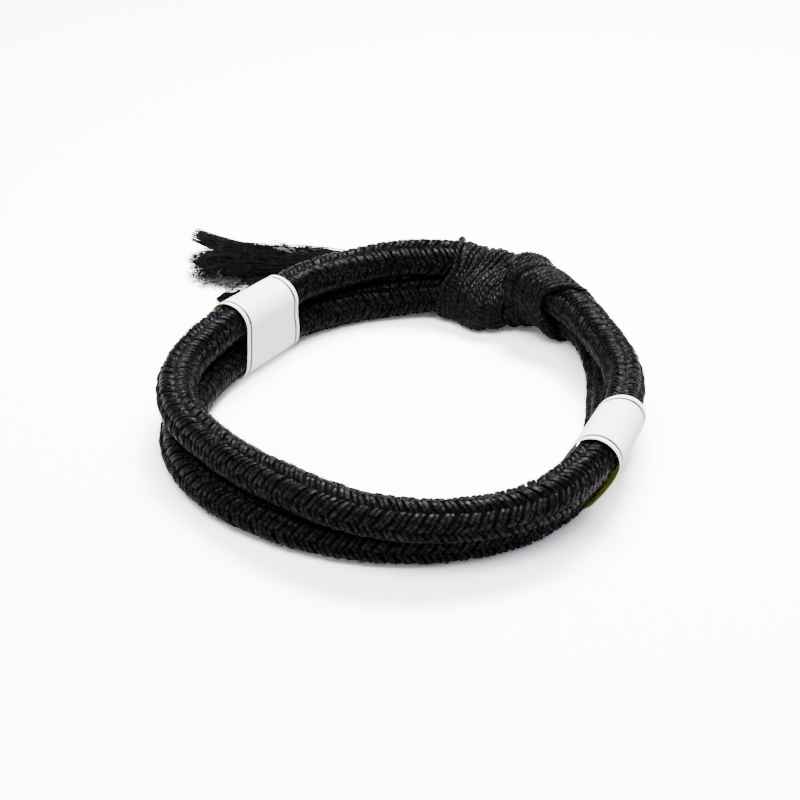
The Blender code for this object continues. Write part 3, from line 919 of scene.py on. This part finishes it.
def yarn_piece(name, material, paths, radius):
    """One piece of yarns along some paths."""
    up = np.broadcast_to(np.array((0.0, 0.0, 1.0)), paths.shape)
    return mesh_piece(name, material, *tubes(paths, up, radius, radius, YARN_SIDES, rng.random(len(paths))))


def add_tassel():
    """The yarns, in two pieces."""
    taper = np.linspace(1, YARN_TIP, YARN_SECTIONS)[None] * YARN_RADIUS
    for number, paths in enumerate(np.array_split(tassel_yarns(), 2), 1):
        tassel = yarn_piece(f"tassel_yarns_{number}", tassel_yarn, paths, taper)
    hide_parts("tassel")


add_tassel()

# Crinkled ends at the near side of the tip, and crimped yarn along the top. The curls and crimps use a grey
# copy of the black yarn: painted highlight where they catch the light.
CURL_SECTIONS = 26
CURL_RADIUS = 0.00020
CURLS = (
    # name, material, how far across they head, (length, coil radius and wavelength, straying),
    # (how many, and where they start along, across and up the tassel)
    ("tassel_curls", grey_highlight_yarn, -0.5, (0.008, 0.0008, 0.0024, 0.45),
     (150, (0.098, 0.116), (-0.0145, -0.0035), (0.001, 0.004))),
    ("tassel_ends", tassel_yarn, -0.4, (0.007, 0.0008, 0.0026, 0.45),
     (150, (0.108, 0.121), (-0.011, 0.002), (0.001, 0.007))),
    ("tassel_crimps", grey_highlight_yarn, 0.1, (0.007, 0.00025, 0.0020, 0.12),
     (40, (0.062, 0.086), (0.000, 0.009), (0.0148, 0.0158))),
)
FOOT, ALONG, ACROSS = (np.array(v) for v in tassel_frame())


def curled(starts, heading, length, coil, wave, stray):
    """Crinkled yarn: each starts at a point and goes its own way, in coils of about this size."""
    steps = np.linspace(0, 1, CURL_SECTIONS)
    paths = []
    for start in starts:
        way = np.array(heading) + rng.normal(0, stray, 3) * (1, 1, 0.5)
        way /= np.linalg.norm(way)
        side = np.cross(way, (0, 0, 1))
        side /= np.linalg.norm(side)
        up = np.cross(side, way)
        run = length * (0.4 + 0.6 * rng.random())
        turn = steps * TAU * run / (wave * (0.7 + 0.6 * rng.random())) + rng.random() * TAU
        radius = coil * (0.5 + rng.random()) * (0.3 + 0.7 * steps)
        bend = rng.normal(0, 0.25) * run * steps**2
        path = start + way * (steps * run)[:, None] + side * (radius * np.cos(turn) + bend)[:, None]
        path += up * (radius * np.sin(turn))[:, None]
        path[:, 2] = np.maximum(path[:, 2], CURL_RADIUS)
        paths.append(path)
    return np.array(paths)


def on_tassel(ahead, aside, high):
    """A point this far along the tassel, across it and off the floor."""
    return np.array((*(FOOT + ALONG * ahead + ACROSS * aside)[:2], high))


def scattered(count, ahead, aside, high):
    """Places spread over a box that lies along the tassel: each range is (from, to) in metres."""
    return [on_tassel(*(rng.uniform(*span) for span in (ahead, aside, high))) for _ in range(count)]


def add_curls():
    """All the places first, then all the paths, then the pieces."""
    starts = [scattered(*row[-1]) for row in CURLS]
    curls = [curled(found, ALONG + row[2] * ACROSS, *row[3]) for found, row in zip(starts, CURLS)]
    for paths, row in zip(curls, CURLS):
        piece = yarn_piece(*row[:2], paths, CURL_RADIUS)


TUFT_YARNS = 90
TUFT_POINTS = 20
TUFT_STEM = (
    # along, across and up the tassel
    (0.070, -0.012, 0.005),
    (0.084, -0.0235, 0.0036),
    (0.0955, -0.0272, 0.0034),
    (0.1045, -0.0290, 0.0012),
)
TUFT_PLACES = (0, 1, 2, 2.6, 3)  # on the stem
TUFT_SIZES = (0.0010, 0.0018, 0.0026, 0.0018, 0.0004)  # there


def add_tuft():
    """A small lock that strays out beside the left band."""
    stem = np.array([on_tassel(*point) for point in TUFT_STEM])
    steps = np.linspace(0, len(stem) - 1, TUFT_POINTS)
    line = np.stack([np.interp(steps, range(len(stem)), column) for column in stem.T], axis=1)
    sizes = np.interp(steps, TUFT_PLACES, TUFT_SIZES)
    paths = line[None] + rng.normal(0, 0.5, (TUFT_YARNS, 1, 3)) * sizes[:, None]
    paths[..., 2] = np.maximum(paths[..., 2], YARN_RADIUS)
    tuft = yarn_piece("tassel_tuft", tassel_yarn, paths, YARN_RADIUS)


add_curls()
add_tuft()

# The paper bands: thin sleeves with a fine rule near each edge
PAPER_THICK = 0.00028
RULE_INSET = 0.0024
RULE_WIDE = 0.0012
BAND_WAYS = 96
BAND_ROWS = 24
INSIDE_UV = 99.0  # marks the inner face
OUTER_CLEAR = 0.0001  # least height of the outer face
INNER_CLEAR = 0.0003
IVORY = (0.93, 0.93, 0.82)
RULE_GREY = (0.012, 0.012, 0.014)
OLIVE_PAINTED_SHADE = (0.60, 0.56, 0.26)  # the inner face: painted shade, darker and yellower than the ivory, as where light comes through the thin paper
LIT_THROUGH = (0.045, 0.047, 0.006)  # light that comes through the thin paper
BAND_EDGES = {
    # first and last edge: degrees along from the solid sleeve, degrees of skew, the way round that skews on
    "band_left": ((0.77, 1.7, 110.0), (0.65, 0.2, 60.0)),
    "band_right": ((-3.4, 0.6, 0.0), (-5.3, 2.65, 18.0)),
}


def paper_material():
    """Ivory paper, its inner face painted a darker olive as shade, with a faint painted glow for light
    through the paper. The UV map's first number is the distance from an edge, in millimetres.
    """
    material, tree, shader = new_material("ivory_paper")
    uv = tree.nodes.new("ShaderNodeUVMap")
    uv.uv_map = "UVMap"
    split = tree.nodes.new("ShaderNodeSeparateXYZ")
    tree.links.new(uv.outputs["UV"], split.inputs["Vector"])
    near = tree.nodes.new("ShaderNodeMath")
    near.operation = "COMPARE"
    near.inputs[1].default_value = RULE_INSET * 1000
    near.inputs[2].default_value = RULE_WIDE / 2 * 1000
    tree.links.new(split.outputs["X"], near.inputs[0])
    grain = noise_texture(tree, 900.0, 4.0)
    place = tree.nodes.new("ShaderNodeTexCoord")
    tree.links.new(place.outputs["Object"], grain.inputs["Vector"])
    lift = tree.nodes.new("ShaderNodeBump")
    lift.inputs["Strength"].default_value = 0.12
    lift.inputs["Distance"].default_value = 0.0001
    tree.links.new(grain.outputs["Fac"], lift.inputs["Height"])
    tree.links.new(lift.outputs["Normal"], shader.inputs["Normal"])
    inside = tree.nodes.new("ShaderNodeMath")
    inside.operation = "GREATER_THAN"
    inside.inputs[1].default_value = INSIDE_UV - 0.5
    tree.links.new(split.outputs["X"], inside.inputs[0])
    ruled = colour_mix(tree, IVORY, RULE_GREY, near.outputs["Value"])
    # Painted shade: the inner face is olive instead of ivory.
    faces = colour_mix(tree, IVORY, OLIVE_PAINTED_SHADE, inside.outputs["Value"])
    tree.links.new(ruled, faces.node.inputs["A"])
    tree.links.new(faces, shader.inputs["Base Color"])
    shining = colour_mix(tree, (0, 0, 0), LIT_THROUGH, inside.outputs["Value"])
    tree.links.new(shining, shader.inputs["Emission Color"])
    shader.inputs["Emission Strength"].default_value = 1.0
    shader.inputs["Roughness"].default_value = 0.42
    return material


ivory_paper = paper_material()


def bound_coils(bearing):
    """The frame of the two coils, and their circles in it as they are drawn."""
    place = pair_frame(bearing)
    circles = []
    for turn, coil in enumerate(coil_points(bearing)):
        travel = bearing + 360.0 * turn
        off = nudged(travel, coil) - place[0]
        radius = (CORD_RADIUS + BRAID_PROUD) * fullness(travel)
        circles.append((off.dot(place[2]), off.dot(place[3]), radius))
    return place, circles


def straightened(rows, ways, place):
    """Stiff paper doesn't bend with the cord: each line along it is straight, and clear of the cord."""
    share = np.linspace(0, 1, len(rows))[:, None, None]
    chords = rows[0] * (1 - share) + rows[-1] * share
    out = np.array([place[2] * math.cos(way) + place[3] * math.sin(way) for way in ways])
    bulge = ((rows[len(rows) // 2] - chords[len(rows) // 2]) * out).sum(axis=1).clip(0)
    return chords + out * bulge[:, None]


def paper_face(middle, width, edges, ways, proud, least):
    """One face of a sleeve: rows of points round both coils, this far outside the gap to the cord."""
    half = half_span(width, middle)
    rows = []
    for k in range(BAND_ROWS + 1):
        part = k / BAND_ROWS
        rows.append([])
        for way in ways:
            offsets = [shift + skew * math.cos(way - math.radians(turned)) for shift, skew, turned in edges]
            offset = offsets[0] * (1 - part) + offsets[1] * part
            place, circles = bound_coils(middle - half + 2 * half * part + offset)
            reached = hull_reach(way, circles) + WALL_GAP + proud
            rows[-1].append(in_frame(place, reached * math.cos(way), reached * math.sin(way)))
    face = straightened(np.array(rows), ways, pair_frame(middle))
    face[..., 2] = np.maximum(face[..., 2], least)
    return face


def paper_band(name, middle, width, edges):
    """A sleeve with an outer and an inner face, closed at its edges."""
    ways = [k * TAU / BAND_WAYS for k in range(BAND_WAYS)]
    outer = paper_face(middle, width, edges, ways, PAPER_THICK, OUTER_CLEAR)
    inner = paper_face(middle, width, edges, ways, 0.0, INNER_CLEAR)
    points = np.concatenate([outer.reshape(-1, 3), inner.reshape(-1, 3)])
    index = np.arange(len(points)).reshape(2, BAND_ROWS + 1, BAND_WAYS)
    walls = [
        quads_between(index[0, :-1], index[0, 1:])[:, ::-1],
        quads_between(index[1, :-1], index[1, 1:]),
        quads_between(index[0, 0], index[1, 0]),
        quads_between(index[0, -1], index[1, -1])[:, ::-1],
    ]
    rows = np.arange(BAND_ROWS + 1)
    insets = np.minimum(rows, BAND_ROWS - rows) / BAND_ROWS * width * 1000
    uv = np.zeros((2, BAND_ROWS + 1, BAND_WAYS, 2))
    uv[..., 0] = insets[None, :, None]
    uv[..., 1] = np.arange(BAND_WAYS) / BAND_WAYS * 90
    uv[1, ..., 0] = INSIDE_UV
    return mesh_piece(name, ivory_paper, points, np.concatenate(walls), uv)


for name, middle, width in BANDS:
    paper = paper_band(name.replace("band", "paper"), middle, width, BAND_EDGES[name])
    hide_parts(name)

# Camera, floor and light
PHOTO_SIZE = 800.0
SENSOR = 36.0
ELEVATION = 0.528000542
DISTANCE = 0.63205
FOCAL = 1636.47  # in pixels of the photo
AIM = (-0.003, -0.017, 0.020)  # from the ring's centre
FLOOR_HALF = 3
FLOOR_DROP = 0.0003
FLOOR_GAIN = 1.9  # how much brighter the camera sees the floor than the object does
SOFTBOXES = (
    # name, place from the ring's centre, size, watts
    ("back", (0.14, 0.36, 0.84), (0.45, 0.32), 47.0),
    ("front", (-0.1, -0.42, 0.9), (0.6, 0.4), 20.0),
)


def add_camera():
    """The photo's view."""
    data = bpy.data.cameras.new("camera")
    data.sensor_width = SENSOR
    data.lens = FOCAL * SENSOR / PHOTO_SIZE
    camera = bpy.data.objects.new("camera", data)
    bpy.context.collection.objects.link(camera)
    behind = AIM[1] - DISTANCE * math.cos(ELEVATION)
    above = AIM[2] + DISTANCE * math.sin(ELEVATION)
    camera.location = Vector(CENTRE) + Vector((AIM[0], behind, above))
    camera.rotation_euler = (math.pi / 2 - ELEVATION, 0, 0)
    bpy.context.scene.camera = camera


def floor_paint():
    """A matt white sweep, bright to the camera and plain white to the object on it."""
    material, tree, plain = new_material("floor")
    plain.inputs["Base Color"].default_value = (0.50, 0.51, 0.52, 1)
    plain.inputs["Roughness"].default_value = 0.95
    bright = tree.nodes.new("ShaderNodeBsdfDiffuse")
    bright.inputs["Color"].default_value = (0.93 * FLOOR_GAIN, 0.94 * FLOOR_GAIN, 0.955 * FLOOR_GAIN, 1)
    rays = tree.nodes.new("ShaderNodeLightPath")
    mix = tree.nodes.new("ShaderNodeMixShader")
    tree.links.new(rays.outputs["Is Camera Ray"], mix.inputs["Fac"])
    tree.links.new(plain.outputs["BSDF"], mix.inputs[1])
    tree.links.new(bright.outputs["BSDF"], mix.inputs[2])
    tree.links.new(mix.outputs["Shader"], tree.nodes["Material Output"].inputs["Surface"])
    return material


def add_floor():
    """A wide plain floor."""
    mesh = bpy.data.meshes.new("floor")
    corners = [(x * FLOOR_HALF, y * FLOOR_HALF, 0) for x, y in ((-1, -1), (1, -1), (1, 1), (-1, 1))]
    mesh.from_pydata(corners, [], [(0, 1, 2, 3)])
    mesh.materials.append(floor_paint())
    floor = bpy.data.objects.new("floor", mesh)
    floor.location.z = -FLOOR_DROP
    bpy.context.collection.objects.link(floor)


def add_world():
    """A pale studio that is brighter overhead."""
    world = bpy.data.worlds.new("studio")
    world.use_nodes = True
    tree = world.node_tree
    background = tree.nodes["Background"]
    background.inputs["Color"].default_value = (0.90, 0.95, 1.0, 1)
    facing = tree.nodes.new("ShaderNodeTexCoord")
    split = tree.nodes.new("ShaderNodeSeparateXYZ")
    glow = tree.nodes.new("ShaderNodeMapRange")
    glow.inputs["To Min"].default_value = 0.45
    glow.inputs["To Max"].default_value = 1.5
    tree.links.new(facing.outputs["Generated"], split.inputs["Vector"])
    tree.links.new(split.outputs["Z"], glow.inputs["Value"])
    tree.links.new(glow.outputs["Result"], background.inputs["Strength"])
    bpy.context.scene.world = world


def add_softbox(name, location, size, watts):
    """A soft light that faces the ring's centre."""
    data = bpy.data.lights.new(name, "AREA")
    data.shape = "RECTANGLE"
    data.size, data.size_y = size
    data.energy = watts
    light = bpy.data.objects.new(name, data)
    bpy.context.collection.objects.link(light)
    light.location = Vector(CENTRE) + Vector(location)
    light.rotation_euler = (-Vector(location)).to_track_quat("-Z", "Y").to_euler()


add_camera()
add_floor()
add_world()
for values in SOFTBOXES:
    add_softbox(*values)
